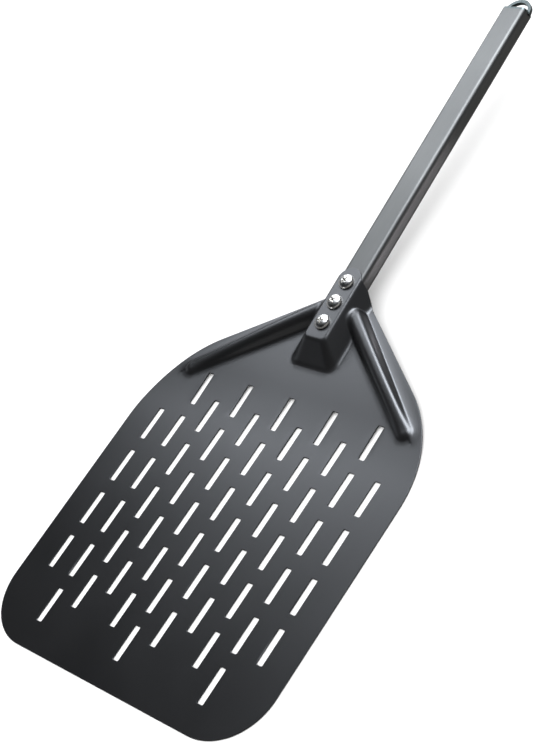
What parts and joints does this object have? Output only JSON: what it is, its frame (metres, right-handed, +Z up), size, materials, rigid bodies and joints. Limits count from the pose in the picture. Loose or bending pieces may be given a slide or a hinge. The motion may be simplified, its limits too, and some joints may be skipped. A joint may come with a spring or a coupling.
{
  "type": "perforated pizza peel",
  "caption": "Perforated pizza peel: a black slotted sheet-metal blade with pressed shoulder ribs, screwed to a straight rounded-rectangle tube handle that ends in a hanging loop.",
  "frame": {"origin": "on the flat underside of the blade, at the centre of its slot pattern and on the peel's mirror plane", "axes": "+Z up out of the blade's upper face, +Y along the blade towards the handle, +X across the blade to the right when seen from the handle"},
  "size_m": [0.305, 0.6684, 0.0483],
  "materials": {
    "black_anodised_aluminium": "satin black hard anodising on pressed sheet",
    "grey_anodised_aluminium": "gunmetal grey anodising on a finely blasted extrusion",
    "nickel_plated_steel": "bright nickel plating, slightly worn in the cross recess",
    "zinc_plated_steel": "bright zinc plating",
    "satin_grey_casting": "satin grey die casting",
    "black_plastic": "moulded, matte"
  },
  "bodies": {
    "root": {"blade": "black_anodised_aluminium", "handle_tube": "grey_anodised_aluminium", "front_plug": "black_plastic", "end_cap": "satin_grey_casting", "screw_front": "nickel_plated_steel", "screw_middle": "nickel_plated_steel", "screw_rear": "nickel_plated_steel", "rivet_nut_front": "zinc_plated_steel", "rivet_nut_middle": "zinc_plated_steel", "rivet_nut_rear": "zinc_plated_steel"}
  },
  "joints": []
}
